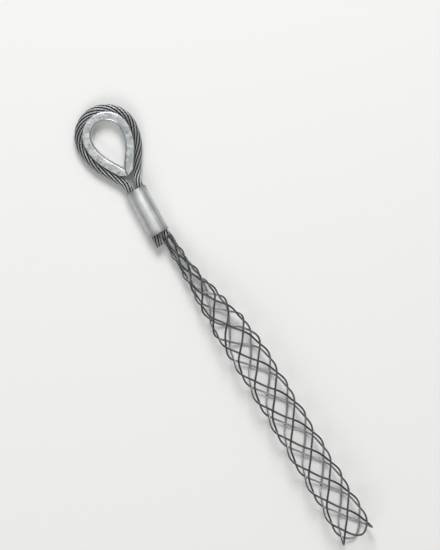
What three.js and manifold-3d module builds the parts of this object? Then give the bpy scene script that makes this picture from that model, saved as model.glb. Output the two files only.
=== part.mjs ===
// Cable pulling grip, in millimetres, +Z up.
//
// Four wire strands make the whole grip. Each strand starts at the short dead end beside the neck, runs
// through the ferrule, round the thimble and back through the ferrule as part of a rope with eight strand
// legs, then winds down the neck and the sleeve as a helix, turns round in an open loop at the mouth and
// comes back as the opposite helix. The two families of helices pass over and under each other by turns,
// which is the mesh that tightens on a cable.
//
// In plan, x runs along the sleeve from the ferrule's end face to the mouth, and the eye lies at -x. The
// finished group is moved so that its origin is the centre of its footprint on the surface it lies on.

import * as THREE from 'three';
import { mergeVertices } from 'three/addons/utils/BufferGeometryUtils.js';
import Module from 'manifold-3d';

const { degToRad, euclideanModulo, smoothstep, lerp } = THREE.MathUtils;

// Wire strand and the rope laid from it
const strandDiameter = 2.1;
const strandClearance = 0.3; // left between neighbouring strands of the rope
const crossingClearance = 0.5; // left between two strands where they cross
const doubledStrands = 4; // each one gives the rope and the mesh two legs
const layLength = 80; // length of rope in which a leg goes once round, right-hand lay
const stubLength = 11.5; // dead end past the ferrule

// Ferrule, pressed round the two legs of the eye
const ferruleLength = 50;
const ferruleWall = 0.8; // outside the bores
const ferruleWeb = 1.2; // between the bores
const ferruleChamfer = 0.9;
const seatClearance = 0.3; // between the rope and the metal that holds it
const ferruleTilt = degToRad(2.5); // the eye end's slant to the sleeve's axis
const ferruleOffset = 14.4; // from the sleeve's axis to the ferrule's, at its end face

// Thimble and the eye round it
const openingRadius = 15.1; // clear radius of the thimble's round end
const thimbleDepth = 9.5; // from the opening to the edge of the wings
const thimbleWidth = 15; // across the flat sides
const seatDepth = 0.6; // how far the wings reach over the rope's inner side
const flankAngle = degToRad(31.7); // between the eye's axis and each straight leg
const flankRadius = 55; // bend of the rope from the straight leg to the round end
const throatRadius = 20; // bend of the rope from the ferrule into the straight leg
const throatStraight = 1.9; // rope that leaves the ferrule before it bends
const noseDistance = 15.5; // from the ferrule to the point of the thimble
const noseSlope = 0.5; // how far the nose face falls back, for each millimetre off the eye's axis
const noseSlit = 1; // between the two ends of the thimble
const wingChamfer = 1;
const bearingRound = 3; // rounding of the opening's edges
const jogLength = 18; // rope that brings the eye from the ferrule's height down to the thimble's
const crownTurn = degToRad(-25.2); // of the rope at the middle of the eye's round end, about its centre line

// Neck and sleeve
const sleeveClearRadius = 14.75; // inside the innermost strands
const neckOpening = 1.36; // ring of the neck, as a multiple of the rope's ring
const openingLength = 11; // from the ferrule to where the ring has opened for the first crossing
const neckLength = 165; // from the ferrule to where the sleeve runs straight
const flareStart = 22;
const flareEnd = 142;
const twistStart = 40; // the neck is twisted from here to the sleeve
const neckTwist = degToRad(75); // the same way as the rope's lay
const firstCrossing = 15.5; // from the ferrule to the first crossing of the mesh
const meshRows = 22; // rows of diamonds from the first crossing to the last
const neckRowPitch = 10.9;
const sleeveRowPitch = 17.5;
const rowsWidenEnd = 222; // the rows' pitch grows from the ferrule to here
const mouthDepth = 10.3; // of the loops past the last crossing
const floorGap = 0.3; // under the sleeve, which rests lightly

// Facets
const strandSides = 6;
const stepsPerLay = 12;
const stepsPerRow = 3;
const stepsInLead = 4;
const stepsPerLoop = 8;
const coreSides = 6;
const crownSteps = 12;
const flankSteps = 3;
const grooveSteps = 6;
const bearingSteps = 3;
const ferruleSides = 36;
const boreSides = 20;

// Sizes that follow from the ones above
const legs = 2 * doubledStrands;
const legPitch = strandDiameter + strandClearance;
const closeRing = legPitch / (2 * Math.sin(Math.PI / legs));
const ropeRing = Math.hypot(closeRing, (2 * Math.PI * closeRing * closeRing) / layLength);
const ropeRadius = ropeRing + strandDiameter / 2;
const coreRadius = ropeRing - strandDiameter / 2 - strandClearance;
const boreRadius = ropeRadius + seatClearance;
const boreOffset = boreRadius + ferruleWeb / 2;
const ferruleRadius = boreOffset + boreRadius + ferruleWall;
const weaveSwing = (strandDiameter + crossingClearance) / 2; // each leg's rise or fall at a crossing
const neckRing = neckOpening * ropeRing;
const sleeveRing = sleeveClearRadius + strandDiameter / 2 + weaveSwing;
const grooveRadius = ropeRadius + seatClearance;
const wingOffset = ropeRadius - seatDepth; // from the rope's centre line in to the wings' edges
const crownRadius = openingRadius + thimbleDepth + wingOffset; // of the rope's centre line
const openingOffset = crownRadius - openingRadius;
const flankRise = (flankRadius + throatRadius) * (1 - Math.cos(flankAngle));
const legLength = (crownRadius - boreOffset - flankRise) / Math.sin(flankAngle);
const ferruleHeight = ferruleRadius;
const eyeHeight = thimbleWidth / 2;

const steel = { metalness: 0.9, roughness: 0.45 };
const materials = {
  strand: new THREE.MeshStandardMaterial({ ...steel, color: 0x9a9da0 }),
  thimble: new THREE.MeshStandardMaterial({ ...steel, color: 0xb4b8ba }),
  ferrule: new THREE.MeshStandardMaterial({ color: 0xc8cacb, metalness: 0.85, roughness: 0.5 }),
  core: new THREE.MeshStandardMaterial({ color: 0xb39a6b, metalness: 0, roughness: 0.95 }),
};

// A mesh from rows of points, each row one section of the same length, with a cap at each end.
// The points of a section go round anticlockwise for someone who looks back along the sweep.
// Each cap is given as triangles of section indices.
function loft(sections, capTriangles) {
  const size = sections[0].length;
  const index = [];
  for (let i = 0; i + 1 < sections.length; i++) {
    for (let k = 0; k < size; k++) {
      const here = i * size + k;
      const beside = i * size + ((k + 1) % size);
      index.push(here, beside, beside + size, here, beside + size, here + size);
    }
  }
  const last = (sections.length - 1) * size;
  for (const [a, b, c] of capTriangles) {
    index.push(a, c, b, last + a, last + b, last + c);
  }
  const geometry = new THREE.BufferGeometry().setFromPoints(sections.flat());
  geometry.setIndex(index);
  geometry.computeVertexNormals();
  return geometry;
}

// The triangles that fill an outline, each one going round the same way as the outline.
function facesOf(outline) {
  const turns = Math.sign(THREE.ShapeUtils.area(outline));
  return THREE.ShapeUtils.triangulateShape(outline, []).map(([a, b, c]) => {
    const same = Math.sign(THREE.ShapeUtils.area([outline[a], outline[b], outline[c]])) === turns;
    return same ? [a, b, c] : [a, c, b];
  });
}

// A round bar with flat ends through the given points. A corner of each section faces the outward direction.
function barThrough(path, radius, sides) {
  const sections = path.map(({ point, outward }, i) => {
    const before = path[Math.max(i - 1, 0)].point;
    const after = path[Math.min(i + 1, path.length - 1)].point;
    const along = after.clone().sub(before).normalize();
    const out = outward.clone().addScaledVector(along, -outward.dot(along)).normalize();
    const across = along.clone().cross(out);
    return Array.from({ length: sides }, (_, k) => {
      const angle = (k * 2 * Math.PI) / sides;
      return point
        .clone()
        .addScaledVector(out, radius * Math.cos(angle))
        .addScaledVector(across, radius * Math.sin(angle));
    });
  });
  const cap = Array.from({ length: sides - 2 }, (_, k) => [0, k + 1, k + 2]);
  return loft(sections, cap);
}

// A route in plan made of straights and arcs, each one { length, turn }, from a point and a heading.
function planRoute(start, heading, pieces) {
  const length = pieces.reduce((sum, piece) => sum + piece.length, 0);
  function at(distance) {
    let [x, y, angle, left] = [start.x, start.y, heading, distance];
    for (const [i, piece] of pieces.entries()) {
      const isLast = i === pieces.length - 1;
      const run = isLast ? left : Math.min(left, piece.length);
      if (piece.turn === 0) {
        x += run * Math.cos(angle);
        y += run * Math.sin(angle);
      } else {
        const bend = piece.turn / piece.length;
        const next = angle + bend * run;
        x += (Math.sin(next) - Math.sin(angle)) / bend;
        y -= (Math.cos(next) - Math.cos(angle)) / bend;
        angle = next;
      }
      left -= run;
      if (left <= 0 && !isLast) break;
    }
    return new THREE.Vector2(x, y);
  }
  return { length, at };
}

const straight = (length) => ({ length, turn: 0 });
const arc = (radius, turn) => ({ length: radius * Math.abs(turn), turn });

// The rope's centre line in plan, from the stub's end round the eye to the ferrule's end face.
const alongFerrule = new THREE.Vector2(Math.cos(ferruleTilt), -Math.sin(ferruleTilt));
const acrossFerrule = new THREE.Vector2(Math.sin(ferruleTilt), Math.cos(ferruleTilt));
const ferruleEnd = new THREE.Vector2(0, -ferruleOffset);
const stubEnd = ferruleEnd
  .clone()
  .addScaledVector(alongFerrule, stubLength)
  .addScaledVector(acrossFerrule, -boreOffset);
const eyeRoute = planRoute(stubEnd, Math.PI - ferruleTilt, [
  straight(stubLength + ferruleLength + throatStraight),
  arc(throatRadius, flankAngle),
  straight(legLength),
  arc(flankRadius, -flankAngle),
  arc(crownRadius, -Math.PI),
  arc(flankRadius, -flankAngle),
  straight(legLength),
  arc(throatRadius, flankAngle),
  straight(throatStraight + ferruleLength),
]);

// Height of the rope's centre line: the ferrule's in the ferrule, the thimble's round the thimble.
function ropeHeight(distance) {
  const fromStub = distance - stubLength - ferruleLength;
  const fromFace = eyeRoute.length - distance - ferruleLength;
  const down = smoothstep(Math.min(fromStub, fromFace), 0, jogLength);
  return lerp(ferruleHeight, eyeHeight, down);
}

function ropeCentre(distance) {
  const plan = eyeRoute.at(distance);
  return new THREE.Vector3(plan.x, plan.y, ropeHeight(distance));
}

// How far the ring of legs has turned, about the grip's centre line. The rope is laid evenly out from the
// middle of the eye's round end. Past the ferrule its turning dies out by the first crossing, and the neck
// is twisted on from there, up to the turn that the sleeve keeps.
const layTurn = (2 * Math.PI) / layLength;
const rowWeave = (2 * Math.PI) / legs;
const crownMiddle = (eyeRoute.length + stubLength) / 2;
const ropeTurn = (distance) => crownTurn + layTurn * (distance - crownMiddle);
const exitTurn = ropeTurn(eyeRoute.length);
const leadPower = (2 * firstCrossing) / neckRowPitch;
const crossingTurn = exitTurn + layTurn * (firstCrossing - firstCrossing / leadPower);
const meshTurn = (x) => crossingTurn + neckTwist * smoothstep(x, twistStart, neckLength);
const sleeveTurn = crossingTurn + neckTwist;

// Neck and sleeve: the centre line swings from the live bore to the sleeve's axis as a cubic in plan,
// and climbs as the mesh widens, so that its underside comes down to the floor.
const liveExit = ropeCentre(eyeRoute.length);
const pastDown = euclideanModulo(sleeveTurn + rowWeave / 2 + Math.PI / 2, rowWeave);
const floorRow = Math.min(pastDown, rowWeave - pastDown); // from straight down to the lowest crossings
const seatShare = Math.cos(floorRow);

function flare(x) {
  return smoothstep(x, flareStart, flareEnd);
}

function meshRing(x) {
  const opened = smoothstep(x, 0, openingLength);
  return lerp(ropeRing, neckRing, opened) + (sleeveRing - neckRing) * flare(x);
}

function underside(x) {
  const outside = lerp(neckRing, sleeveRing, flare(x)) + weaveSwing + strandDiameter / 2;
  return outside * seatShare + floorGap;
}

function sleeveCentre(x) {
  const t = Math.min(x / neckLength, 1);
  const fromStart = 1 - t * t * (3 - 2 * t);
  const startSlope = t * (1 - t) * (1 - t) * neckLength * -Math.tan(ferruleTilt);
  const y = liveExit.y * fromStart + startSlope;
  const z = underside(x) + (ferruleHeight - underside(0)) * fromStart;
  return new THREE.Vector3(liveExit.x + x, y, z);
}

// A place on the grip's centre line, with its sideways and upward directions.
function stationOn(centreAt, distance, ring, turn, weave) {
  const reach = 0.01;
  const centre = centreAt(distance);
  const along = centreAt(distance + reach).sub(centreAt(distance - reach)).normalize();
  const side = new THREE.Vector3(0, 0, 1).cross(along).normalize();
  const up = along.clone().cross(side);
  return { centre, side, up, ring, turn, weave };
}

// Stations down the grip. turn is how far the whole ring has turned, and weave how far the two families
// of legs have turned against each other since the rope, where it is 0. From one crossing to the next,
// weave grows by rowWeave.
function ropeStations() {
  const count = Math.round((eyeRoute.length / layLength) * stepsPerLay);
  return Array.from({ length: count }, (_, i) => {
    const distance = (eyeRoute.length * i) / count;
    return stationOn(ropeCentre, distance, ropeRing, ropeTurn(distance), 0);
  });
}

function leadStations() {
  return Array.from({ length: stepsInLead }, (_, i) => {
    const t = i / stepsInLead;
    const x = firstCrossing * t;
    const weave = (rowWeave / 2) * t ** leadPower;
    const turn = exitTurn + layTurn * (x - (firstCrossing * t ** leadPower) / leadPower);
    return stationOn(sleeveCentre, x, meshRing(x), turn, weave);
  });
}

function meshStations() {
  const stations = [];
  const rowPitch = (x) => lerp(neckRowPitch, sleeveRowPitch, smoothstep(x, 0, rowsWidenEnd));
  let x = firstCrossing;
  for (let i = 0; i <= meshRows * stepsPerRow; i++) {
    const weave = rowWeave * (0.5 + i / stepsPerRow);
    stations.push(stationOn(sleeveCentre, x, meshRing(x), meshTurn(x), weave));
    const halfway = x + rowPitch(x) / stepsPerRow / 2;
    x += rowPitch(halfway) / stepsPerRow;
  }
  return stations;
}

const stations = [...ropeStations(), ...leadStations(), ...meshStations()];
const lastStation = stations[stations.length - 1];

function onRing(station, angle, radius) {
  const outward = station.side
    .clone()
    .multiplyScalar(Math.cos(angle))
    .addScaledVector(station.up, Math.sin(angle));
  return { point: station.centre.clone().addScaledVector(outward, radius), outward };
}

// One leg of a strand. The two families start half a pitch apart and go opposite ways in the mesh, and
// at each crossing one of them is the outer one, by turns.
function legPath(index, family) {
  const start = (2 * Math.PI * (index + (family > 0 ? 0 : 0.5))) / doubledStrands;
  return stations.map((station) => {
    const angle = start + station.turn + family * station.weave;
    const rise = family * weaveSwing * Math.sin(doubledStrands * station.weave);
    return onRing(station, angle, station.ring + rise);
  });
}

// The open loop at the mouth, from the last crossing of the outgoing leg to that of the returning leg.
// Its depth falls off as a power of the distance from its middle, set so that it meets both legs' slopes.
function mouthLoop(index) {
  const start = (2 * Math.PI * index) / doubledStrands + lastStation.turn + lastStation.weave;
  const lastRise = weaveSwing * Math.sin(doubledStrands * lastStation.weave);
  const power = sleeveRowPitch / mouthDepth;
  return Array.from({ length: stepsPerLoop - 1 }, (_, i) => {
    const t = (2 * (i + 1)) / stepsPerLoop - 1;
    const angle = start + (1 + t) * rowWeave;
    const rise = lastRise * Math.cos(((1 + t) * Math.PI) / 2);
    const place = onRing(lastStation, angle, lastStation.ring + rise);
    place.point.x += mouthDepth * (1 - Math.abs(t) ** power);
    return place;
  });
}

function strandGeometry(index) {
  const outgoing = legPath(index, 1);
  const returning = legPath(index + meshRows + 1, -1).reverse();
  return barThrough([...outgoing, ...mouthLoop(index), ...returning], strandDiameter / 2, strandSides);
}

// The fibre core follows the rope and ends with it.
function coreGeometry() {
  const path = ropeStations().map((station) => ({ point: station.centre, outward: station.up }));
  return barThrough(path, coreRadius, coreSides);
}

// Thimble: one section carried along the eye, in terms of how far in it lies from the rope's centre line
// and its height. Its straight legs run on until they meet the slit on the eye's axis or the nose face.
function thimbleGeometry() {
  const throatRun = (throatRadius + flankRadius) * Math.sin(flankAngle);
  const crownCentre = throatStraight + throatRun + legLength * Math.cos(flankAngle);
  const [sin, cos] = [Math.sin(flankAngle), Math.cos(flankAngle)];

  // The end of the flank arc for a line that lies inset from the rope's, as distances from the ferrule's
  // eye-side face and from the eye's axis.
  const flankEnd = (inset) => ({
    out: crownCentre - (flankRadius - inset) * sin,
    off: crownRadius - flankRadius + (flankRadius - inset) * cos,
  });
  const toSlit = (inset) => (flankEnd(inset).off - noseSlit / 2) / sin;
  const toNose = (inset) => {
    const { out, off } = flankEnd(inset);
    return (out - noseDistance - noseSlope * off) / (cos - noseSlope * sin);
  };

  // The inset at which the slit and the nose face end a line at the same place.
  const ridgeOut = noseDistance + (noseSlope * noseSlit) / 2;
  const ridgeInset = (flankEnd(0).off - noseSlit / 2) * cos - (flankEnd(0).out - ridgeOut) * sin;

  const half = thimbleWidth / 2;
  const lip = Math.sqrt(grooveRadius ** 2 - wingOffset ** 2);
  const profile = [];
  const add = (inset, height) => profile.push({ inset, height });
  const grooveHalf = Math.atan2(lip, wingOffset);
  for (let i = 0; i <= grooveSteps; i++) {
    const angle = lerp(-grooveHalf, grooveHalf, i / grooveSteps);
    add(grooveRadius * Math.cos(angle), grooveRadius * Math.sin(angle));
  }
  add(wingOffset, half - wingChamfer);
  add(wingOffset + wingChamfer, half);
  const topRidge = profile.length;
  add(ridgeInset, half);
  for (let i = 0; i <= bearingSteps; i++) {
    const angle = (Math.PI / 2) * (1 - i / bearingSteps);
    add(
      openingOffset - bearingRound * (1 - Math.cos(angle)),
      half - bearingRound * (1 - Math.sin(angle)),
    );
  }
  for (let i = 0; i <= bearingSteps; i++) {
    const angle = (-Math.PI / 2) * (i / bearingSteps);
    add(
      openingOffset - bearingRound * (1 - Math.cos(angle)),
      -half + bearingRound * (1 + Math.sin(angle)),
    );
  }
  const bottomRidge = profile.length;
  add(ridgeInset, -half);
  add(wingOffset + wingChamfer, -half);
  add(wingOffset, -half + wingChamfer);

  // A place on the eye, out from the ferrule along its axis and off to one side of it.
  const eyePoint = (out, off, height) =>
    new THREE.Vector3(
      ferruleEnd.x - alongFerrule.x * (ferruleLength + out) + acrossFerrule.x * off,
      ferruleEnd.y - alongFerrule.y * (ferruleLength + out) + acrossFerrule.y * off,
      eyeHeight + height,
    );

  const sections = [];
  const legSection = (sideSign, share) =>
    profile.map(({ inset, height }) => {
      const { out, off } = flankEnd(inset);
      const run = share * Math.min(toSlit(inset), toNose(inset));
      return eyePoint(out - run * cos, sideSign * (off - run * sin), height);
    });
  const arcSection = (sideSign, angle) =>
    profile.map(({ inset, height }) => {
      const radius = flankRadius - inset;
      const out = crownCentre - radius * Math.sin(angle);
      const off = crownRadius - flankRadius + radius * Math.cos(angle);
      return eyePoint(out, sideSign * off, height);
    });
  const crownSection = (angle) =>
    profile.map(({ inset, height }) => {
      const radius = crownRadius - inset;
      return eyePoint(crownCentre + radius * Math.sin(angle), -radius * Math.cos(angle), height);
    });

  sections.push(legSection(-1, 1));
  for (let i = 0; i < flankSteps; i++) {
    sections.push(arcSection(-1, flankAngle * (1 - i / flankSteps)));
  }
  for (let i = 0; i <= crownSteps; i++) {
    sections.push(crownSection((Math.PI * i) / crownSteps));
  }
  for (let i = 1; i <= flankSteps; i++) {
    sections.push(arcSection(1, (flankAngle * i) / flankSteps));
  }
  sections.push(legSection(1, 1));

  // Each end has two flat faces, the slit's side and the nose's, which meet between the ridge points.
  const innerPart = profile.map((_, i) => i).slice(topRidge, bottomRidge + 1);
  const outerPart = [
    ...profile.map((_, i) => i).slice(bottomRidge),
    ...profile.map((_, i) => i).slice(0, topRidge + 1),
  ];
  const cap = [innerPart, outerPart].flatMap((part) => {
    const outline = part.map((i) => new THREE.Vector2(profile[i].inset, profile[i].height));
    return facesOf(outline).map((face) => face.map((i) => part[i]));
  });
  return loft(sections, cap);
}

// Solids for cutting
const wasm = await Module();
wasm.setup();

function solidFrom(geometry) {
  const bare = geometry.clone();
  bare.deleteAttribute('normal');
  bare.deleteAttribute('uv');
  const merged = mergeVertices(bare);
  return new wasm.Manifold(
    new wasm.Mesh({
      numProp: 3,
      vertProperties: merged.attributes.position.array,
      triVerts: new Uint32Array(merged.index.array),
    }),
  );
}

function geometryFrom(solid) {
  const mesh = solid.getMesh();
  const geometry = new THREE.BufferGeometry();
  geometry.setAttribute('position', new THREE.BufferAttribute(mesh.vertProperties, 3));
  geometry.setIndex(new THREE.BufferAttribute(mesh.triVerts, 1));
  geometry.computeVertexNormals();
  return geometry;
}

// Ferrule: a turned body with broken edges and two bores side by side, its axis along y.
function ferruleGeometry() {
  const half = ferruleLength / 2;
  const outline = [
    [0, -half],
    [ferruleRadius - ferruleChamfer, -half],
    [ferruleRadius, -half + ferruleChamfer],
    [ferruleRadius, half - ferruleChamfer],
    [ferruleRadius - ferruleChamfer, half],
    [0, half],
  ].map(([radius, along]) => new THREE.Vector2(radius, along));
  const body = solidFrom(new THREE.LatheGeometry(outline, ferruleSides));
  const overrun = 2;
  const bores = [-1, 1].map((sideSign) => {
    const bore = new THREE.CylinderGeometry(boreRadius, boreRadius, ferruleLength + overrun, boreSides);
    return solidFrom(bore.translate(sideSign * boreOffset, 0, 0));
  });
  return geometryFrom(bores.reduce((left, bore) => left.subtract(bore), body));
}

// The grip
const grip = new THREE.Group();

function addPiece(name, geometry, material) {
  const piece = new THREE.Mesh(geometry, material);
  piece.name = name;
  grip.add(piece);
  return piece;
}

for (let i = 0; i < doubledStrands; i++) {
  addPiece(`strand_${i + 1}`, strandGeometry(i), materials.strand);
}
addPiece('rope_core', coreGeometry(), materials.core);
addPiece('thimble', thimbleGeometry(), materials.thimble);

const ferrule = addPiece('ferrule', ferruleGeometry(), materials.ferrule);
const ferruleMiddle = ferruleEnd.clone().addScaledVector(alongFerrule, -ferruleLength / 2);
ferrule.rotation.z = -ferruleTilt - Math.PI / 2;
ferrule.position.set(ferruleMiddle.x, ferruleMiddle.y, ferruleHeight);

const part = new THREE.Group();
part.add(grip);
part.updateMatrixWorld(true);
const box = new THREE.Box3().setFromObject(grip, true);
const footprint = box.getCenter(new THREE.Vector3());
grip.position.set(-footprint.x, -footprint.y, -box.min.z);

export default part;
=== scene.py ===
# Cable pulling grip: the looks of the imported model, in metres, in the model's own frame.
#
# Every strand, the fibre core, the thimble and the ferrule are worked out again as fine surfaces, from the
# sizes that the model is built to. Lengths are in millimetres until a mesh is made. x runs along the sleeve
# from the ferrule's end face to the mouth, the eye lies at -x, and z is up.

import math

import bpy
import numpy as np
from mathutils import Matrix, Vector


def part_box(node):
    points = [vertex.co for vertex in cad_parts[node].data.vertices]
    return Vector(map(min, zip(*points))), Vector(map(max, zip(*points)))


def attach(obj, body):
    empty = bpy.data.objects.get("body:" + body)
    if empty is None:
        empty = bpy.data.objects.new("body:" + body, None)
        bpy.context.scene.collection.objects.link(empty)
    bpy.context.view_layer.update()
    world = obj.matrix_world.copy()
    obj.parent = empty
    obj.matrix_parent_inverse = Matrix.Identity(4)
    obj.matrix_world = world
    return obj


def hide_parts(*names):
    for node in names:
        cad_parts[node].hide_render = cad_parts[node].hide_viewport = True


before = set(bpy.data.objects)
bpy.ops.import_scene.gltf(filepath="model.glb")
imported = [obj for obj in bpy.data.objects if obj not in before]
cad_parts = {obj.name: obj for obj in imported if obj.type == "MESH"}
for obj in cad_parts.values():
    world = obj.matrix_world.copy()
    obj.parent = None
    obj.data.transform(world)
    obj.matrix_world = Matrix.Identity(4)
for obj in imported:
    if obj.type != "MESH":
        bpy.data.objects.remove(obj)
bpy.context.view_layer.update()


MM = 0.001

# Wire strand and the rope laid from it
STRAND_DIAMETER = 2.1
STRAND_CLEARANCE = 0.3
CROSSING_CLEARANCE = 0.5
DOUBLED_STRANDS = 4
LAY_LENGTH = 80.0
STUB_LENGTH = 11.5

# Ferrule
FERRULE_LENGTH = 50.0
FERRULE_WALL = 0.8
FERRULE_WEB = 1.2
FERRULE_ROUND = 0.9
FERRULE_TILT = math.radians(2.5)
FERRULE_OFFSET = 14.4
SEAT_CLEARANCE = 0.3
BAND_TURN = math.radians(6)  # half of the ground band, seen from the ferrule's axis

# Thimble and the eye round it
OPENING_RADIUS = 15.1
THIMBLE_DEPTH = 9.5
THIMBLE_WIDTH = 15.0
SEAT_DEPTH = 0.6
FLANK_ANGLE = math.radians(31.7)
FLANK_RADIUS = 55.0
THROAT_RADIUS = 20.0
THROAT_STRAIGHT = 1.9
NOSE_DISTANCE = 15.5
NOSE_SLOPE = 0.5
NOSE_SLIT = 1.0
WING_ROUND = 1.0
BEARING_ROUND = 3.0
EDGE_ROUND = 0.35
JOG_LENGTH = 18.0
CROWN_TURN = math.radians(-25.2)

# Neck and sleeve
SLEEVE_CLEAR_RADIUS = 14.75
NECK_OPENING = 1.36
OPENING_LENGTH = 11.0
NECK_LENGTH = 165.0
FLARE_START = 22.0
FLARE_END = 142.0
TWIST_START = 40.0
NECK_TWIST = math.radians(75)
FIRST_CROSSING = 15.5
MESH_ROWS = 22
NECK_ROW_PITCH = 10.9
SLEEVE_ROW_PITCH = 17.5
ROWS_WIDEN_END = 222.0
MOUTH_DEPTH = 10.3
FLOOR_GAP = 0.3

# Wires of a strand and yarns of the core
STRAND_WIRES = 6
STRAND_TWIST = -17.0  # length of one turn of the wires, left-hand
CORE_YARNS = 3
CORE_TWIST = 21.0
CUT_DEPTH = 0.05  # of the bright metal at a cut end

# How finely the surfaces are worked out
STEP = 1.06  # between the rings of points along a strand
DENSE_STEP = 0.3  # between the stations along the grip
POINTS_PER_WIRE = 6
POINTS_PER_YARN = 10
GROOVE_POINTS = 21
WING_POINTS = 6
BEARING_POINTS = 11
LEG_RINGS = 12
FLANK_RINGS = 14
CROWN_RINGS = 60
EDGE_SEGMENTS = 3
FERRULE_SIDES = 120
FERRULE_ROUND_POINTS = 7
BORE_SIDES = 72
BORE_OVERRUN = 1.0  # of the rod that cuts a bore, past each end of the ferrule

# Angles past which an edge looks sharp
LAID_SHARP = math.radians(50)
THIMBLE_SHARP = math.radians(40)
FERRULE_SHARP = math.radians(35)

# How rubbed the surfaces are, and how far the painted shade on the rope's strands reaches. A point of a
# strand faces the middle of the rope or sleeve at -1, and away from it at 1.
ROPE_SHADE_FADE = (0.1, 0.75)  # facings where the painted shade on a strand in the rope begins to lift, and is gone
MESH_DULLED = (-0.6, 0.2)  # facings where a strand in the mesh begins to be dull, and is fully dull
DULL = 0.54  # how clean the dull side is
RIM_WORN = 0.6  # wear along the thimble's rim
BEARING_RUN_IN = 4  # points of the bearing face's rounding over which its wear sets in
LEG_WORN = 0.4  # wear of the thimble's legs, beside that of its round end
CROWN_WORN_END = 0.4  # shares of the way from the middle of the round end to the nose, between which
LEG_WORN_START = 0.8  # the wear goes over from the one to the other

# Layout of a strand or core in rows, for baked pictures
ROW_GAP = 0.02  # share of a row's width that is left free at each side
END_ROOM = 9  # rings of points, left free in the last row for the two ends
END_PLACES = np.array([[6.8], [2.4]])  # of the ends' middles, in rings back from the end of that row

# Sizes that follow
LEGS = 2 * DOUBLED_STRANDS
LEG_PITCH = STRAND_DIAMETER + STRAND_CLEARANCE
CLOSE_RING = LEG_PITCH / (2 * math.sin(math.pi / LEGS))
ROPE_RING = math.hypot(CLOSE_RING, 2 * math.pi * CLOSE_RING**2 / LAY_LENGTH)
ROPE_RADIUS = ROPE_RING + STRAND_DIAMETER / 2
CORE_RADIUS = ROPE_RING - STRAND_DIAMETER / 2 - STRAND_CLEARANCE
BORE_RADIUS = ROPE_RADIUS + SEAT_CLEARANCE
BORE_OFFSET = BORE_RADIUS + FERRULE_WEB / 2
FERRULE_RADIUS = BORE_OFFSET + BORE_RADIUS + FERRULE_WALL
WEAVE_SWING = (STRAND_DIAMETER + CROSSING_CLEARANCE) / 2
NECK_RING = NECK_OPENING * ROPE_RING
SLEEVE_RING = SLEEVE_CLEAR_RADIUS + STRAND_DIAMETER / 2 + WEAVE_SWING
GROOVE_RADIUS = ROPE_RADIUS + SEAT_CLEARANCE
WING_OFFSET = ROPE_RADIUS - SEAT_DEPTH
CROWN_RADIUS = OPENING_RADIUS + THIMBLE_DEPTH + WING_OFFSET
OPENING_OFFSET = CROWN_RADIUS - OPENING_RADIUS
FLANK_RISE = (FLANK_RADIUS + THROAT_RADIUS) * (1 - math.cos(FLANK_ANGLE))
LEG_LENGTH = (CROWN_RADIUS - BORE_OFFSET - FLANK_RISE) / math.sin(FLANK_ANGLE)
THROAT_RUN = (THROAT_RADIUS + FLANK_RADIUS) * math.sin(FLANK_ANGLE)
CROWN_CENTRE = THROAT_STRAIGHT + THROAT_RUN + LEG_LENGTH * math.cos(FLANK_ANGLE)
FERRULE_HEIGHT = FERRULE_RADIUS
EYE_HEIGHT = THIMBLE_WIDTH / 2
ROW_WEAVE = 2 * math.pi / LEGS
LAY_TURN = 2 * math.pi / LAY_LENGTH

ALONG_FERRULE = np.array([math.cos(FERRULE_TILT), -math.sin(FERRULE_TILT), 0])
ACROSS_FERRULE = np.array([math.sin(FERRULE_TILT), math.cos(FERRULE_TILT), 0])
UPWARD = np.array([0.0, 0.0, 1.0])
FERRULE_END = np.array([0, -FERRULE_OFFSET, FERRULE_HEIGHT])
FERRULE_MIDDLE = FERRULE_END - ALONG_FERRULE * FERRULE_LENGTH / 2
STUB_END = FERRULE_END + ALONG_FERRULE * STUB_LENGTH - ACROSS_FERRULE * BORE_OFFSET

# The model's own origin is the centre of its footprint. The ferrule's box says where these lengths lie in it.
low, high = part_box("ferrule")
SHIFT = (np.array(low) + np.array(high)) / 2 / MM - FERRULE_MIDDLE


def smoothstep(x, start, end):
    """0 before start, 1 past end, and 3t² - 2t³ between them, where t is the share of the way."""
    t = np.clip((x - start) / (end - start), 0, 1)
    return t * t * (3 - 2 * t)


def blend(a, b, share):
    """a where share is 0, b where it is 1, and straight in between."""
    return a + (b - a) * share


def unit(vectors):
    """Each vector divided by its length."""
    return vectors / np.linalg.norm(vectors, axis=-1, keepdims=True)


# Route of the rope in plan: straights and arcs, each a length and a turn, from the stub's end round the eye
# and back to the ferrule's end face.
ROUTE = np.array([
    (STUB_LENGTH + FERRULE_LENGTH + THROAT_STRAIGHT, 0),
    (THROAT_RADIUS * FLANK_ANGLE, FLANK_ANGLE),
    (LEG_LENGTH, 0),
    (FLANK_RADIUS * FLANK_ANGLE, -FLANK_ANGLE),
    (CROWN_RADIUS * math.pi, -math.pi),
    (FLANK_RADIUS * FLANK_ANGLE, -FLANK_ANGLE),
    (LEG_LENGTH, 0),
    (THROAT_RADIUS * FLANK_ANGLE, FLANK_ANGLE),
    (THROAT_STRAIGHT + FERRULE_LENGTH, 0),
])


def run_of(heading, bend, run):
    """The way from the start of a run of even bend: its direction summed along it.

    Bent, x is the gain in sin(heading) and y the loss in cos(heading), both over the bend. Straight, it is
    the run times the direction.
    """
    ahead = heading + bend * run
    straight = bend == 0
    bend = np.where(straight, 1, bend)
    x = np.where(straight, run * np.cos(heading), (np.sin(ahead) - np.sin(heading)) / bend)
    y = np.where(straight, run * np.sin(heading), (np.cos(heading) - np.cos(ahead)) / bend)
    return np.stack([x, y], axis=-1)


def sums_before(values, start):
    """The start, and then the start plus each running sum but the last."""
    return start + np.cumsum(values, axis=0) - values


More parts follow.
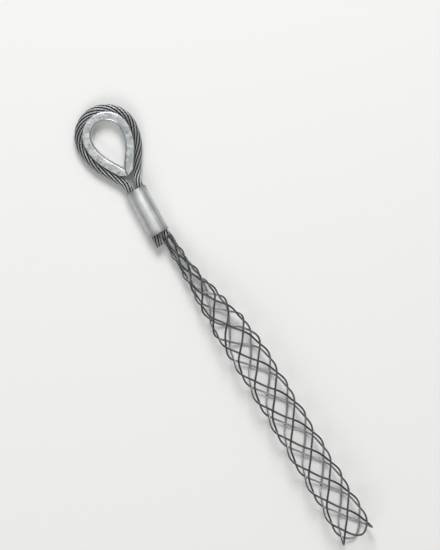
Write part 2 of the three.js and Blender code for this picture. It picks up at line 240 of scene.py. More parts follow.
run_lengths, run_turns = ROUTE.T
run_bends = run_turns / run_lengths
run_starts = sums_before(run_lengths, 0)
run_headings = sums_before(run_turns, math.pi - FERRULE_TILT)
run_corners = sums_before(run_of(run_headings, run_bends, run_lengths), STUB_END[:2])
ROUTE_LENGTH = run_lengths.sum()


def rope_centre(distance):
    """Centre line of the rope: the route in plan, at the ferrule's height, and lowered by a smoothstep from
    each end face of the ferrule to the thimble's middle height."""
    run = np.clip(np.searchsorted(run_starts, distance, side="right") - 1, 0, None)
    plan = run_corners[run] + run_of(run_headings[run], run_bends[run], distance - run_starts[run])
    past_face = np.minimum(distance - STUB_LENGTH, ROUTE_LENGTH - distance) - FERRULE_LENGTH
    height = blend(FERRULE_HEIGHT, EYE_HEIGHT, smoothstep(past_face, 0, JOG_LENGTH))
    return np.concatenate([plan, height[..., None]], axis=-1)


# Turn of the ring of legs: even along the rope from the middle of the eye's round end, dying out from the
# ferrule to the first crossing, and twisted on along the neck.
CROWN_MIDDLE = (ROUTE_LENGTH + STUB_LENGTH) / 2
EXIT_TURN = CROWN_TURN + LAY_TURN * (ROUTE_LENGTH - CROWN_MIDDLE)
LEAD_POWER = 2 * FIRST_CROSSING / NECK_ROW_PITCH
CROSSING_TURN = EXIT_TURN + LAY_TURN * (FIRST_CROSSING - FIRST_CROSSING / LEAD_POWER)
past_down = (CROSSING_TURN + NECK_TWIST + ROW_WEAVE / 2 + math.pi / 2) % ROW_WEAVE
FLOOR_ROW = min(past_down, ROW_WEAVE - past_down)


def flare(x):
    """How far the neck has widened to the sleeve, from 0 to 1: a smoothstep."""
    return smoothstep(x, FLARE_START, FLARE_END)


def mesh_ring(x):
    """The ring's radius: the rope's, opened to the neck's by a smoothstep, and grown by the flare."""
    opened = blend(ROPE_RING, NECK_RING, smoothstep(x, 0, OPENING_LENGTH))
    return opened + (SLEEVE_RING - NECK_RING) * flare(x)


def underside(x):
    """Height of the sleeve's axis over the floor: its outside radius down to its lowest row of crossings."""
    outside = blend(NECK_RING, SLEEVE_RING, flare(x)) + WEAVE_SWING + STRAND_DIAMETER / 2
    return outside * math.cos(FLOOR_ROW) + FLOOR_GAP


LIVE_EXIT = rope_centre(np.array([ROUTE_LENGTH]))[0]


def sleeve_centre(x):
    """Centre line of the neck and sleeve: a cubic in plan from the ferrule's bore, with the ferrule's slope,
    to the sleeve's axis. It rises so that the widening mesh stays on the floor."""
    t = np.minimum(x / NECK_LENGTH, 1)
    from_start = 1 - t * t * (3 - 2 * t)
    start_slope = t * (1 - t) ** 2 * NECK_LENGTH * -math.tan(FERRULE_TILT)
    y = LIVE_EXIT[1] * from_start + start_slope
    z = underside(x) + (FERRULE_HEIGHT - underside(0.0)) * from_start
    return np.stack([LIVE_EXIT[0] + x, y, z], axis=-1)


def places(centre_at, distance):
    """Centre points with their sideways and upward directions: side is up × along, up is along × side."""
    reach = 0.01
    along = unit(centre_at(distance + reach) - centre_at(distance - reach))
    side = unit(np.cross(UPWARD, along))
    return np.concatenate([centre_at(distance), side, np.cross(along, side)], axis=-1)


# Rows of diamonds: rows passed at x is the sum of 1 / pitch from the first crossing, where the pitch goes
# from the neck's to the sleeve's by a smoothstep. The table turns it round, from rows to x.
table_x = np.arange(FIRST_CROSSING, FIRST_CROSSING + (MESH_ROWS + 1) * SLEEVE_ROW_PITCH, DENSE_STEP)
widened = smoothstep((table_x[1:] + table_x[:-1]) / 2, 0, ROWS_WIDEN_END)
table_pitch = blend(NECK_ROW_PITCH, SLEEVE_ROW_PITCH, widened)
table_rows = np.concatenate([[0], np.cumsum(DENSE_STEP / table_pitch)])


def stations():
    """All stations along the grip, one row each: centre, side and up, ring, turn and weave.

    turn is how far the ring of legs has turned, and weave how far the two families of legs have turned
    against each other: 0 in the rope, half a row at the first crossing, and a row more at each one after it.
    """
    rope = np.linspace(0, ROUTE_LENGTH, round(ROUTE_LENGTH / DENSE_STEP), endpoint=False)
    lead = np.linspace(0, FIRST_CROSSING, round(FIRST_CROSSING / DENSE_STEP), endpoint=False)
    rows = np.linspace(0, MESH_ROWS, round(MESH_ROWS * SLEEVE_ROW_PITCH / DENSE_STEP))
    mesh = np.interp(rows, table_rows, table_x)
    t = lead / FIRST_CROSSING
    place = np.concatenate([
        places(rope_centre, rope),
        places(sleeve_centre, lead),
        places(sleeve_centre, mesh),
    ])
    ring = np.concatenate([np.full(rope.shape, ROPE_RING), mesh_ring(lead), mesh_ring(mesh)])
    turn = np.concatenate([
        CROWN_TURN + LAY_TURN * (rope - CROWN_MIDDLE),
        EXIT_TURN + LAY_TURN * (lead - FIRST_CROSSING * t**LEAD_POWER / LEAD_POWER),
        CROSSING_TURN + NECK_TWIST * smoothstep(mesh, TWIST_START, NECK_LENGTH),
    ])
    weave = ROW_WEAVE * np.concatenate([np.zeros(rope.shape), t**LEAD_POWER / 2, rows + 0.5])
    return np.concatenate([place, ring[:, None], turn[:, None], weave[:, None]], axis=1), len(rope)


STATIONS, ROPE_COUNT = stations()


def on_ring(place, angle, radius):
    """Points round the centre line, a radius from it along side × cos(angle) + up × sin(angle), each with
    that outward direction."""
    outward = place[..., 3:6] * np.cos(angle)[..., None] + place[..., 6:9] * np.sin(angle)[..., None]
    return np.concatenate([place[..., 0:3] + outward * radius[..., None], outward], axis=-1)


def leg(index, family):
    """One leg of a strand: turned with the ring and with or against the weave, and swung outward and inward
    as a sine that is at its full at each crossing. The last column says where the legs are laid together: 1
    in the rope, and 0 in the mesh."""
    ring, turn, weave = STATIONS[:, 9:12].T
    start = 2 * math.pi * (index + (0 if family > 0 else 0.5)) / DOUBLED_STRANDS
    rise = family * WEAVE_SWING * np.sin(DOUBLED_STRANDS * weave)
    laid = 1 - smoothstep(ring, ROPE_RING, NECK_RING)
    return np.column_stack([on_ring(STATIONS, start + turn + family * weave, ring + rise), laid])


def mouth_loop(index):
    """The open loop at the mouth. Its depth falls off as a power of the distance from its middle, set so
    that it meets the slopes of both legs, and its swing goes over from one leg's to the other's as a
    cosine."""
    ring, turn, weave = STATIONS[-1, 9:12]
    t = np.arange(-1, 1, DENSE_STEP / MOUTH_DEPTH / 2)[1:]
    start = 2 * math.pi * index / DOUBLED_STRANDS + turn + weave
    rise = WEAVE_SWING * math.sin(DOUBLED_STRANDS * weave) * np.cos((1 + t) * math.pi / 2)
    path = on_ring(STATIONS[-1:], start + (1 + t) * ROW_WEAVE, ring + rise)
    path[:, 0] += MOUTH_DEPTH * (1 - np.abs(t) ** (SLEEVE_ROW_PITCH / MOUTH_DEPTH))
    return np.column_stack([path, np.zeros(len(path))])


def evenly(path):
    """The same path with its points an even step apart, and one more just inside each end. Also how far
    along it each one is."""
    run = np.concatenate([[0], np.cumsum(np.linalg.norm(np.diff(path[:, :3], axis=0), axis=1))])
    even = np.linspace(0, run[-1], round(run[-1] / STEP))
    along = np.concatenate([[0, CUT_DEPTH], even[1:-1], [run[-1] - CUT_DEPTH, run[-1]]])
    return np.stack([np.interp(along, run, column) for column in path.T], axis=1), along


def laid_section(count, radius, points):
    """Outline of round wires laid side by side in a ring: the outer part of each one's circle, from where it
    touches one neighbour to where it touches the next. Also how far out each point is, from 0 to 1."""
    sine = math.sin(math.pi / count)
    wire = radius * sine / (1 + sine)
    reach = math.pi / 2 + math.pi / count
    round_ring = np.arange(count)[:, None] * 2 * math.pi / count
    round_wire = round_ring + np.linspace(-reach, reach, points, endpoint=False)
    middle = (radius - wire) * np.stack([np.cos(round_ring), np.sin(round_ring)], axis=-1)
    outline = (middle + wire * np.stack([np.cos(round_wire), np.sin(round_wire)], axis=-1)).reshape(-1, 2)
    out = np.linalg.norm(outline, axis=1)
    return outline, (out - out.min()) / (out.max() - out.min())


def laid_bar(path, along, outline, twist):
    """The outline carried along the path and turned once in each length of twist. In each ring of points,
    the outline's x lies outward and its y across, which is along × outward. Also each point's x."""
    points, outward = path[:, :3], path[:, 3:6]
    heading = unit(np.gradient(points, axis=0))
    outward = unit(outward - heading * np.sum(outward * heading, axis=1, keepdims=True))
    across = np.cross(heading, outward)
    angle = (2 * math.pi * along / twist)[:, None]
    x = outline[:, 0] * np.cos(angle) - outline[:, 1] * np.sin(angle)
    y = outline[:, 0] * np.sin(angle) + outline[:, 1] * np.cos(angle)
    return points[:, None] + outward[:, None] * x[..., None] + across[:, None] * y[..., None], x


# Meshes and pieces

def tube_faces(rings, around):
    """Four corners for each cell of a grid whose columns close round, facing out from the sweep."""
    here = np.arange((rings - 1) * around).reshape(rings - 1, around)
    beside = np.roll(here, -1, axis=1)
    return np.stack([here, beside, beside + around, here + around], axis=-1).reshape(-1, 4).tolist()


def surface(name, points, faces):
    """A mesh from points in millimetres, moved into the model's frame, and faces as lists of corners."""
    mesh = bpy.data.meshes.new(name)
    mesh.from_pydata(((points.reshape(-1, 3) + SHIFT) * MM).tolist(), [], faces)
    return mesh


def bar(name, rings):
    """A mesh of rings of points joined up, with a flat face at each end."""
    count, around = rings.shape[:2]
    first = np.arange(around)
    last = first + (count - 1) * around
    return surface(name, rings, tube_faces(count, around) + [first[::-1].tolist(), last.tolist()])


def placed(name, data):
    """An object in the scene, with the given mesh, lamp or camera."""
    thing = bpy.data.objects.new(name, data)
    bpy.context.scene.collection.objects.link(thing)
    return thing


def piece(name, mesh, material, node, sharp):
    """A piece of the grip, smooth but for edges past the sharp angle. It rides on the grip and stands for the
    model's node."""
    mesh.polygons.foreach_set("use_smooth", np.ones(len(mesh.polygons), bool))
    mesh.set_sharp_from_angle(angle=sharp)
    mesh.materials.clear()
    mesh.materials.append(material)
    thing = placed(name, mesh)
    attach(thing, "root")
    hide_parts(node)
    return thing


def spread(mesh, name, values):
    """One number at each point of the mesh, for its material to read."""
    values = values.astype(np.float32).ravel()
    mesh.attributes.new(name, "FLOAT", "POINT").data.foreach_set("value", values)


def mapped(mesh, name, corner_places):
    """A UV map, with one place for each corner of each face."""
    mesh.uv_layers.new(name=name).uv.foreach_set("vector", corner_places.astype(np.float32).ravel())


def flat_places(side, ends):
    """The places of a bar's corners in one list: those of its side, and then those of its ends."""
    return np.concatenate([side.reshape(-1, 2), ends.reshape(-1, 2)])


def in_rows(onward, across, outline, ends, rings, length):
    """A flat layout that fills a square: the bar is cut into rows of equal length, one above the other, and
    its two ends lie in the room that the last row leaves. onward is the ring of points and across the share
    of the way round that each corner of a face is at."""
    girth = np.linalg.norm(outline - np.roll(outline, 1, axis=0), axis=1).sum()
    rows = round(math.sqrt(length / girth))
    row_rings = math.ceil((rings + END_ROOM) / rows)
    row = onward[..., :1] // row_rings
    u = blend(ROW_GAP / rows, 1 - ROW_GAP / rows, onward / row_rings - row)
    v = (row + blend(ROW_GAP, 1 - ROW_GAP, across)) / rows
    end_u = 1 + (ends[..., 0] / STEP - END_PLACES) / row_rings
    end_v = 1 + (ends[..., 1] / girth - 0.5) / rows
    return flat_places(np.stack([u, v], axis=-1), np.stack([end_u, end_v], axis=-1))


def laid_piece(name, path, count, radius, points, twist, material, node):
    """A strand or core of laid wires, cut off flat at both ends. Its map "lay" runs round it and along it, in
    metres."""
    outline, crest = laid_section(count, radius, points)
    path, along = evenly(path)
    rings, outward = laid_bar(path, along, outline, twist)
    mesh = bar(name, rings)
    # In the rope a strand's sides, which face its neighbours and the rope's middle, get painted shade, and
    # only its outer side stays bright. In the mesh use rubs its inner side bare, and its outer side stays
    # dull. A cut end is bright.
    facing = outward / radius
    in_rope = smoothstep(facing, *ROPE_SHADE_FADE)
    in_mesh = blend(1, DULL, smoothstep(facing, *MESH_DULLED))
    lit_and_clean = blend(in_mesh, in_rope, path[:, 6:])
    height = np.tile(crest, (len(rings), 1))
    lit_and_clean[[0, -1]] = 1
    height[[0, -1]] = 1
    spread(mesh, "lit_and_clean", lit_and_clean)
    spread(mesh, "crest", height)
    around = len(outline)
    column, ring = np.meshgrid(np.arange(around), np.arange(len(rings) - 1))
    across = np.stack([column, column + 1, column + 1, column], axis=-1) / around
    onward = np.stack([ring, ring, ring + 1, ring + 1], axis=-1)
    ends = np.stack([outline[::-1], outline])
    lay = np.stack([across * 2 * math.pi * radius, along[onward]], axis=-1)
    mapped(mesh, "lay", flat_places(lay, ends) * MM)
    # Pictures are baked through a map of this name
    mapped(mesh, "OFBake", in_rows(onward, across, outline, ends, len(rings), along[-1]))
    piece(name, mesh, material, node, LAID_SHARP)


# Materials

RAMP = "ShaderNodeValToRGB"
NOISE = "ShaderNodeTexNoise"
MIX = "ShaderNodeMix"
BUMP = "ShaderNodeBump"
COLOURS = {"data_type": "RGBA"}
MULTIPLY = {"data_type": "RGBA", "blend_type": "MULTIPLY"}


def linear(colour):
    """A colour written as sRGB hex, as the linear values that Blender takes."""
    share = np.array([int(colour[i:i + 2], 16) for i in (1, 3, 5)]) / 255
    return (*np.where(share > 0.04045, ((share + 0.055) / 1.055) ** 2.4, share / 12.92).tolist(), 1.0)


def grey(value):
    """A linear grey."""
    return (value, value, value, 1.0)


def add(tree, kind, inputs, stops=(), **settings):
    """Adds one node with its settings, a value or a link in each named input, and a ramp's stops."""
    node = tree.nodes.new(kind)
    for name, value in settings.items():
        setattr(node, name, value)
    for name, value in inputs.items():
        if isinstance(value, bpy.types.NodeSocket):
            tree.links.new(value, node.inputs[name])
        else:
            node.inputs[name].default_value = value
    for place, (position, colour) in enumerate(stops):
        elements = node.color_ramp.elements
        element = elements[place] if place < 2 else elements.new(position)
        element.position = position
        element.color = colour
    return node


def new_material(name):
    """An empty material and its tree of nodes."""
    material = bpy.data.materials.new(name)
    material.use_nodes = True
    material.node_tree.nodes.clear()
    return material, material.node_tree


def drawn_galvanised_wire():
    """Steel wire, zinc coated and then drawn: grey and satin, with a painted highlight along the crest of
    each wire and painted shade in the hollows between the wires, partly real wear and grease. The rope's
    strands get painted shade where they face each other, and grease and dust darken the outside of the mesh."""
    material, tree = new_material("drawn_galvanised_wire")
    crest = add(tree, "ShaderNodeAttribute", {}, attribute_name="crest").outputs["Fac"]
    lit_and_clean = add(tree, "ShaderNodeAttribute", {}, attribute_name="lit_and_clean").outputs["Fac"]
    lay = add(tree, "ShaderNodeUVMap", {}, uv_map="lay").outputs["UV"]
    # The zinc is rubbed in stretches of about 20 mm, and clouded in spots of about 2 mm
    stretches = add(tree, NOISE, {"Vector": lay, "Scale": 1 / (20 * MM), "Detail": 3.0}).outputs["Fac"]
    spots = add(tree, NOISE, {"Vector": lay, "Scale": 1 / (2 * MM), "Detail": 2.0}).outputs["Fac"]
    # Painted shade in the hollows between the wires and a painted highlight along their crests, partly wear
    # and grease
    colour = add(tree, RAMP, {"Fac": crest}, [
        (0.0, linear("#3A3C3E")), (0.3, linear("#9A9EA1")), (1.0, linear("#DCDFE0")),
    ]).outputs["Color"]
    cloud = add(tree, RAMP, {"Fac": spots}, [(0.3, grey(0.78)), (0.7, grey(1.0))]).outputs["Color"]
    wear = add(tree, RAMP, {"Fac": stretches}, [(0.35, grey(0.8)), (0.65, grey(1.0))]).outputs["Color"]
    # Painted shade on the sides of the rope's strands that face each other and the rope's middle, and grease
    # and dust on the outside of the mesh
    darkening = add(tree, RAMP, {"Fac": lit_and_clean}, [
        (0.0, linear("#211F1C")), (0.45, linear("#6B6965")), (0.7, linear("#B0B1B1")), (1.0, grey(1.0)),
    ]).outputs["Color"]
    for layer in (cloud, wear, darkening):
        colour = add(tree, MIX, {"Factor": 1.0, "A": colour, "B": layer}, **MULTIPLY).outputs["Result"]
    rough = add(tree, RAMP, {"Fac": spots}, [(0.3, grey(0.5)), (0.7, grey(0.34))]).outputs["Color"]
    shader = add(tree, "ShaderNodeBsdfPrincipled", {
        "Base Color": colour, "Roughness": rough, "Metallic": 1.0,
    })
    add(tree, "ShaderNodeOutputMaterial", {"Surface": shader.outputs["BSDF"]})
    return material


def dipped_zinc():
    """Formed steel dipped in molten zinc: grey crystals a few millimetres across under a soft skin, worn
    through to bright steel where a pin bears and along the edges."""
    material, tree = new_material("dipped_zinc")
    place = add(tree, "ShaderNodeTexCoord", {}).outputs["Object"]
    worn = add(tree, "ShaderNodeAttribute", {}, attribute_name="worn").outputs["Fac"]
    # Crystals of zinc about 3 mm across, runs and dimples of the dip about 8 mm across, scuffs about 1 mm
    crystals = add(tree, "ShaderNodeTexVoronoi", {"Vector": place, "Scale": 1 / (3 * MM)}).outputs["Color"]
    runs = add(tree, NOISE, {"Vector": place, "Scale": 1 / (8 * MM), "Detail": 4.0}).outputs["Fac"]
    scuffs = add(tree, NOISE, {"Vector": place, "Scale": 1 / MM, "Detail": 3.0}).outputs["Fac"]
    tone = add(tree, "ShaderNodeSeparateColor", {"Color": crystals}).outputs["Red"]
    zinc = add(tree, RAMP, {"Fac": tone}, [
        (0.0, linear("#B5BABC")), (1.0, linear("#DCDFDF")),
    ]).outputs["Color"]
    skin = add(tree, RAMP, {"Fac": runs}, [(0.35, grey(0.8)), (0.65, grey(1.0))]).outputs["Color"]
    colour = add(tree, MIX, {"Factor": 1.0, "A": zinc, "B": skin}, **MULTIPLY).outputs["Result"]
    rubbed = add(tree, "ShaderNodeMath", {0: worn, 1: scuffs}, operation="MULTIPLY").outputs["Value"]
    bare = add(tree, RAMP, {"Fac": rubbed}, [(0.24, grey(0.0)), (0.36, grey(1.0))]).outputs["Color"]
    colour = add(tree, MIX, {
        "Factor": bare, "A": colour, "B": linear("#DEE0E0"),
    }, **COLOURS).outputs["Result"]
    dull = add(tree, RAMP, {"Fac": tone}, [(0.0, grey(0.38)), (1.0, grey(0.54))]).outputs["Color"]
    rough = add(tree, MIX, {"Factor": bare, "A": dull, "B": grey(0.24)}, **COLOURS).outputs["Result"]
    bump = add(tree, BUMP, {"Height": runs, "Strength": 0.5, "Distance": 0.4 * MM}).outputs["Normal"]
    shader = add(tree, "ShaderNodeBsdfPrincipled", {
        "Base Color": colour, "Roughness": rough, "Normal": bump, "Metallic": 1.0,
    })
    add(tree, "ShaderNodeOutputMaterial", {"Surface": shader.outputs["BSDF"]})
    return material


def pressed_aluminium():
    """Aluminium tube pressed cold between dies: pale and satin, with fine lines drawn along it, a band at the
    top and bottom where the flash between the dies was ground off, and the rope's grease on both ends."""
    material, tree = new_material("pressed_aluminium")
    place = add(tree, "ShaderNodeTexCoord", {}).outputs["Object"]
    # Lines of the dies, along the ferrule: real ones are about 0.2 mm wide, these 1.5 mm, so that they show
    along = add(tree, "ShaderNodeMapping", {
        "Vector": place,
        "Rotation": (0, 0, FERRULE_TILT),
        "Scale": (1 / (80 * MM), 1 / (1.5 * MM), 1 / (1.5 * MM)),
    }).outputs["Vector"]
    lines = add(tree, NOISE, {"Vector": along, "Scale": 1.0, "Detail": 3.0}).outputs["Fac"]
    # Dents and smears of the dies about 10 mm across
    smears = add(tree, NOISE, {"Vector": place, "Scale": 1 / (10 * MM), "Detail": 2.0}).outputs["Fac"]
    # Distances from the ferrule's middle, in metres: x along its axis, and y sideways
    middle = (FERRULE_MIDDLE + SHIFT) * MM
    from_middle = add(tree, "ShaderNodeMapping", {
        "Vector": place,
        "Rotation": (0, 0, FERRULE_TILT),
        "Location": (-float(middle @ ALONG_FERRULE), -float(middle @ ACROSS_FERRULE), 0),
    }).outputs["Vector"]
    distance = add(tree, "ShaderNodeVectorMath", {0: from_middle}, operation="ABSOLUTE").outputs["Vector"]
    distance = add(tree, "ShaderNodeSeparateXYZ", {"Vector": distance}).outputs
    # The ground band is paler and rougher, out to its edges
    edge = FERRULE_RADIUS * math.sin(BAND_TURN) * MM
    band = add(tree, RAMP, {"Fac": distance["Y"]}, [
        (edge, grey(1.0)), (1.1 * edge, grey(0.0)),
    ]).outputs["Color"]
    # Grease reaches from 3 to 10 mm in from each end, as the smears have it
    reach = add(tree, "ShaderNodeMath", {
        0: smears, 1: 15 * MM, 2: distance["X"],
    }, operation="MULTIPLY_ADD").outputs["Value"]
    darkening = add(tree, RAMP, {"Fac": reach}, [
        (26 * MM, grey(1.0)), (34 * MM, linear("#B8B5AF")),
    ]).outputs["Color"]
    pressed = add(tree, RAMP, {"Fac": smears}, [
        (0.3, linear("#CCCFD0")), (0.7, linear("#E0E2E2")),
    ]).outputs["Color"]
    drawn = add(tree, RAMP, {"Fac": lines}, [(0.35, grey(0.84)), (0.6, grey(1.0))]).outputs["Color"]
    colour = add(tree, MIX, {"Factor": 1.0, "A": pressed, "B": drawn}, **MULTIPLY).outputs["Result"]
    colour = add(tree, MIX, {
        "Factor": band, "A": colour, "B": linear("#E3E4E5"),
    }, **COLOURS).outputs["Result"]
    colour = add(tree, MIX, {"Factor": 1.0, "A": colour, "B": darkening}, **MULTIPLY).outputs["Result"]
    satin = add(tree, RAMP, {"Fac": lines}, [(0.3, grey(0.46)), (0.7, grey(0.62))]).outputs["Color"]
    rough = add(tree, MIX, {"Factor": band, "A": satin, "B": grey(0.55)}, **COLOURS).outputs["Result"]
    dents = add(tree, BUMP, {"Height": smears, "Strength": 0.6, "Distance": 0.6 * MM}).outputs["Normal"]
    bump = add(tree, BUMP, {
        "Height": lines, "Normal": dents, "Strength": 0.5, "Distance": 0.2 * MM,
    }).outputs["Normal"]
    shader = add(tree, "ShaderNodeBsdfPrincipled", {
        "Base Color": colour, "Roughness": rough, "Normal": bump, "Metallic": 1.0,
    })
    add(tree, "ShaderNodeOutputMaterial", {"Surface": shader.outputs["BSDF"]})
    return material


def laid_fibre():
    """Sisal laid in three yarns: straw brown and hairy, with painted shade between the yarns."""
    material, tree = new_material("laid_fibre")
    crest = add(tree, "ShaderNodeAttribute", {}, attribute_name="crest").outputs["Fac"]
    lay = add(tree, "ShaderNodeUVMap", {}, uv_map="lay").outputs["UV"]
    # Fibres about 0.25 mm wide and 5 mm long
    stretched = add(tree, "ShaderNodeMapping", {
        "Vector": lay, "Scale": (1 / (0.25 * MM), 1 / (5 * MM), 1),
    }).outputs["Vector"]
    fibres = add(tree, NOISE, {"Vector": stretched, "Scale": 1.0}).outputs["Fac"]
    # Straw brown, with painted shade in the hollows between the yarns
    straw_and_shade = add(tree, RAMP, {"Fac": crest}, [
        (0.0, linear("#241B11")), (0.6, linear("#5C4A2E")), (1.0, linear("#8F7A50")),
    ]).outputs["Color"]
    shade = add(tree, RAMP, {"Fac": fibres}, [(0.3, grey(0.7)), (0.7, grey(1.0))]).outputs["Color"]
    colour = add(tree, MIX, {"Factor": 1.0, "A": straw_and_shade, "B": shade}, **MULTIPLY).outputs["Result"]
    bump = add(tree, BUMP, {"Height": fibres, "Strength": 0.8, "Distance": 0.2 * MM}).outputs["Normal"]
    shader = add(tree, "ShaderNodeBsdfPrincipled", {
        "Base Color": colour, "Normal": bump, "Roughness": 0.9,
    })
    add(tree, "ShaderNodeOutputMaterial", {"Surface": shader.outputs["BSDF"]})
    return material


wire = drawn_galvanised_wire()
zinc = dipped_zinc()
aluminium = pressed_aluminium()
fibre = laid_fibre()


# Strands and core

for i in range(DOUBLED_STRANDS):
    route = np.concatenate([leg(i, 1), mouth_loop(i), leg(i + MESH_ROWS + 1, -1)[::-1]])
    laid_piece(f"strand_{i + 1}_wires", route, STRAND_WIRES, STRAND_DIAMETER / 2, POINTS_PER_WIRE,
               STRAND_TWIST, wire, f"strand_{i + 1}")

core_route = np.pad(STATIONS[:ROPE_COUNT, [0, 1, 2, 6, 7, 8]], ((0, 0), (0, 1)))
laid_piece("rope_core_yarns", core_route, CORE_YARNS, CORE_RADIUS, POINTS_PER_YARN, CORE_TWIST,
           fibre, "rope_core")


# Thimble

def arc(centre, radius, start, end, count):
    """Points of an arc about a centre, from one angle in degrees to another."""
    angle = np.radians(np.linspace(start, end, count))
    return np.stack([centre[0] + radius * np.cos(angle), centre[1] + radius * np.sin(angle)], axis=1)


def thimble_profile():
    """The section, as places in from the rope's centre line and heights: the groove's arc, the rounding of
    the wing's rim, the flat side as far as the ridge of the nose, the rounding into the bearing face, and
    the upper half mirrored. Also how worn each point is, and the places of the two ridges."""
    half = THIMBLE_WIDTH / 2
    lip = math.degrees(math.acos(WING_OFFSET / GROOVE_RADIUS))
    wing_middle = (WING_OFFSET + WING_ROUND, half - WING_ROUND)
    bearing_middle = (OPENING_OFFSET - BEARING_ROUND, half - BEARING_ROUND)
    groove = arc((0, 0), GROOVE_RADIUS, -lip, lip, GROOVE_POINTS)
    wing = arc(wing_middle, WING_ROUND, 180, 90, WING_POINTS)
    bearing = arc(bearing_middle, BEARING_ROUND, 90, 0, BEARING_POINTS)
    top = np.concatenate([wing, [[RIDGE_INSET, half]], bearing])
    profile = np.concatenate([groove, top, top[::-1] * (1, -1)])
    run_in = smoothstep(np.arange(BEARING_POINTS), 0, BEARING_RUN_IN)
    top_worn = np.concatenate([np.full(WING_POINTS, RIM_WORN), [0], run_in])
    worn = np.concatenate([np.zeros(GROOVE_POINTS), top_worn, top_worn[::-1]])
    return profile, worn, GROOVE_POINTS + WING_POINTS, len(profile) - 1 - WING_POINTS


def flank_end(inset):
    """Where the flank's arc meets the straight leg, out from the ferrule and off the eye's axis, for a line
    that lies inset from the rope's."""
    out = CROWN_CENTRE - (FLANK_RADIUS - inset) * math.sin(FLANK_ANGLE)
    return out, CROWN_RADIUS - FLANK_RADIUS + (FLANK_RADIUS - inset) * math.cos(FLANK_ANGLE)


def leg_run(inset):
    """Length of the straight leg, to the slit on the eye's axis or to the nose face, whichever is nearer."""
    out, off = flank_end(inset)
    sine, cosine = math.sin(FLANK_ANGLE), math.cos(FLANK_ANGLE)
    to_slit = (off - NOSE_SLIT / 2) / sine
    to_nose = (out - NOSE_DISTANCE - NOSE_SLOPE * off) / (cosine - NOSE_SLOPE * sine)
    return np.minimum(to_slit, to_nose)


# The ridge is where the slit and the nose face meet
ridge_out = NOSE_DISTANCE + NOSE_SLOPE * NOSE_SLIT / 2
flank_out, flank_off = flank_end(0)
RIDGE_INSET = ((flank_off - NOSE_SLIT / 2) * math.cos(FLANK_ANGLE)
               - (flank_out - ridge_out) * math.sin(FLANK_ANGLE))


def thimble_grid(profile):
    """The profile carried along one leg, one flank, the round end, the other flank and the other leg. The
    legs are straight lines, and the flanks and the round end arcs about fixed centres, each point's radius
    being its line's distance from that centre."""
    inset, height = profile.T
    leg_share = np.linspace(1, 0, LEG_RINGS, endpoint=False)[:, None]
    flank_turn = np.linspace(FLANK_ANGLE, 0, FLANK_RINGS, endpoint=False)[:, None]
    crown_turn = np.linspace(0, math.pi, CROWN_RINGS)[:, None]
    out, off = flank_end(inset)
    run = leg_share * leg_run(inset)
    leg_part = np.stack([out - run * math.cos(FLANK_ANGLE), off - run * math.sin(FLANK_ANGLE)], axis=-1)
    radius = FLANK_RADIUS - inset
    flank_part = np.stack([
        CROWN_CENTRE - radius * np.sin(flank_turn),
        CROWN_RADIUS - FLANK_RADIUS + radius * np.cos(flank_turn),
    ], axis=-1)
    radius = CROWN_RADIUS - inset
    crown_part = np.stack([
        CROWN_CENTRE + radius * np.sin(crown_turn),
        -radius * np.cos(crown_turn),
    ], axis=-1)
    one_side = np.concatenate([leg_part, flank_part])
    plan = np.concatenate([one_side * (1, -1), crown_part, one_side[::-1]])
    eye = FERRULE_END * (1, 1, 0) - ALONG_FERRULE * FERRULE_LENGTH + UPWARD * EYE_HEIGHT
    return (eye - plan[..., :1] * ALONG_FERRULE + plan[..., 1:] * ACROSS_FERRULE
            + np.broadcast_to(height, plan.shape[:2])[..., None] * UPWARD)


section, section_worn, top_ridge, bottom_ridge = thimble_profile()
grid = thimble_grid(section)
girth = len(section)
# Each end of the sweep is two flat faces, which meet along the line from ridge to ridge
slit_face = np.arange(top_ridge, bottom_ridge + 1)
nose_face = np.concatenate([np.arange(bottom_ridge, girth), np.arange(top_ridge + 1)])
last = (len(grid) - 1) * girth
end_faces = [slit_face[::-1], nose_face[::-1], last + slit_face, last + nose_face]
faces = tube_faces(len(grid), girth) + [face.tolist() for face in end_faces]
thimble_mesh = surface("thimble_dipped", grid, faces)
# The pin wears the round end most: the rings of points are counted from its middle
from_crown = np.abs(np.arange(len(grid)) - (len(grid) - 1) / 2) / (len(grid) / 2)
held_wear = blend(1, LEG_WORN, smoothstep(from_crown, CROWN_WORN_END, LEG_WORN_START))
spread(thimble_mesh, "worn", held_wear[:, None] * section_worn)
thimble = piece("thimble_dipped", thimble_mesh, zinc, "thimble", THIMBLE_SHARP)
edges = thimble.modifiers.new("rounded edges", "BEVEL")
edges.width = EDGE_ROUND * MM
edges.segments = EDGE_SEGMENTS
edges.limit_method = "ANGLE"
edges.angle_limit = THIMBLE_SHARP


# Ferrule

def ferrule_grid():
    """A turned body: a rounding at each end and a straight side, swept round the ferrule's axis. At the top
    and bottom its height is held to that of the band's edges, so that the band is flat."""
    half = FERRULE_LENGTH / 2
    rounding = arc((FERRULE_RADIUS - FERRULE_ROUND, half - FERRULE_ROUND), FERRULE_ROUND, 0, 90,
                   FERRULE_ROUND_POINTS)
    side = np.concatenate([(rounding * (1, -1))[::-1], rounding])
    angle = np.linspace(0, 2 * math.pi, FERRULE_SIDES, endpoint=False)
    radius, along = side[:, :1], side[:, 1]
    height = np.clip(np.cos(angle), -math.cos(BAND_TURN), math.cos(BAND_TURN))
    return (FERRULE_MIDDLE + along[:, None, None] * ALONG_FERRULE
            + (radius * height)[..., None] * UPWARD
            - (radius * np.sin(angle))[..., None] * ACROSS_FERRULE)


def bore_rod(middle):
    """A plain rod along the ferrule, for cutting a bore: a circle at each of its ends."""
    angle = np.linspace(0, 2 * math.pi, BORE_SIDES, endpoint=False)
    circle = BORE_RADIUS * (np.cos(angle)[:, None] * UPWARD - np.sin(angle)[:, None] * ACROSS_FERRULE)
    reach = ALONG_FERRULE * (FERRULE_LENGTH / 2 + BORE_OVERRUN)
    return np.stack([middle + circle - reach, middle + circle + reach])


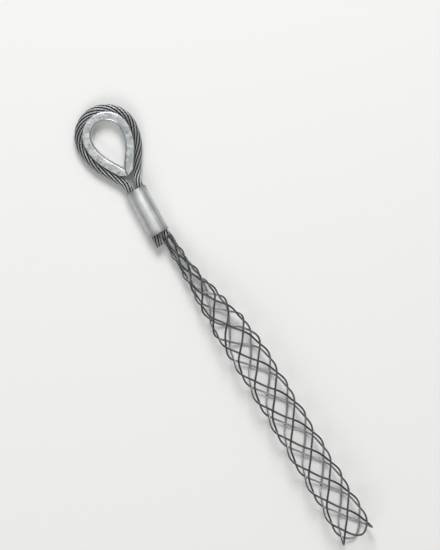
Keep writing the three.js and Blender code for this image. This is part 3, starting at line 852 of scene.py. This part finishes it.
body = placed("ferrule_body", bar("ferrule_body", ferrule_grid()))
for side in (-1, 1):
    cut = body.modifiers.new("bore", "BOOLEAN")
    cut.object = placed("bore", bar("bore", bore_rod(FERRULE_MIDDLE + ACROSS_FERRULE * side * BORE_OFFSET)))
    cut.solver = "EXACT"
bpy.context.view_layer.update()
bored = bpy.data.meshes.new_from_object(body.evaluated_get(bpy.context.evaluated_depsgraph_get()))
bored.name = "ferrule_pressed"
for spent in [cut.object for cut in body.modifiers] + [body]:
    bpy.data.objects.remove(spent)
piece("ferrule_pressed", bored, aluminium, "ferrule", FERRULE_SHARP)


# Floor, light and camera

FLOOR_REACH = 3.0
FLOOR_HEIGHT = -0.3 * MM  # the round wires reach a little lower than the model's strands

paper, paper_nodes = new_material("pale_floor")
matt = add(paper_nodes, "ShaderNodeBsdfPrincipled", {"Base Color": linear("#F2F2F0"), "Roughness": 0.8})
add(paper_nodes, "ShaderNodeOutputMaterial", {"Surface": matt.outputs["BSDF"]})
square = np.array([(-1, -1, 0), (1, -1, 0), (1, 1, 0), (-1, 1, 0)]) * FLOOR_REACH
floor_mesh = bpy.data.meshes.new("floor")
floor_mesh.from_pydata((square + (0, 0, FLOOR_HEIGHT)).tolist(), [], [(0, 1, 2, 3)])
floor_mesh.materials.append(paper)
floor = placed("floor", floor_mesh)

# A studio that is dim at the height of the floor and paler overhead, so that metal shows its roundness
world = bpy.data.worlds.new("studio")
world.use_nodes = True
bpy.context.scene.world = world
sky = world.node_tree
sky.nodes.clear()
direction = add(sky, "ShaderNodeTexCoord", {}).outputs["Generated"]
steepness = add(sky, "ShaderNodeSeparateXYZ", {"Vector": direction}).outputs["Z"]
glow = add(sky, RAMP, {"Fac": steepness}, [(0.0, grey(0.12)), (0.35, grey(0.24)), (1.0, grey(0.5))])
background = add(sky, "ShaderNodeBackground", {"Color": glow.outputs["Color"], "Strength": 1.0})
add(sky, "ShaderNodeOutputWorld", {"Surface": background.outputs["Background"]})


def softbox(name, place, size, power):
    """A square area lamp that faces the middle of the grip."""
    lamp = bpy.data.lights.new(name, "AREA")
    lamp.size = size
    lamp.energy = power
    box = placed(name, lamp)
    box.location = place
    box.rotation_euler = (-Vector(place)).to_track_quat("-Z", "Y").to_euler()


softbox("key", place=(-1.8, 1.0, 2.4), size=1.3, power=64.0)
softbox("fill", place=(1.4, -1.8, 2.2), size=1.6, power=20.0)

# The drawing looks straight down on the grip, with its sleeve running 59 degrees down to the right. It has
# no perspective, so the lens is a long one.
VIEW_TURN = math.radians(59)
VIEW_CENTRE = (np.array([67.0, 16.1, 12.0]) + SHIFT) * MM
FRAME_HEIGHT = 0.55  # metres at the grip, from the top of the picture to the bottom
LENS = 400.0
SENSOR = 36.0
CLIP_END = 20.0

lens = bpy.data.cameras.new("camera")
lens.lens = LENS
lens.sensor_width = SENSOR
lens.clip_end = CLIP_END
camera = placed("camera", lens)
camera.location = Vector(VIEW_CENTRE) + Vector((0, 0, FRAME_HEIGHT * LENS / SENSOR))
camera.rotation_euler = (0, 0, VIEW_TURN)
bpy.context.scene.camera = camera
bpy.context.scene.view_settings.view_transform = "Standard"

bpy.context.view_layer.update()
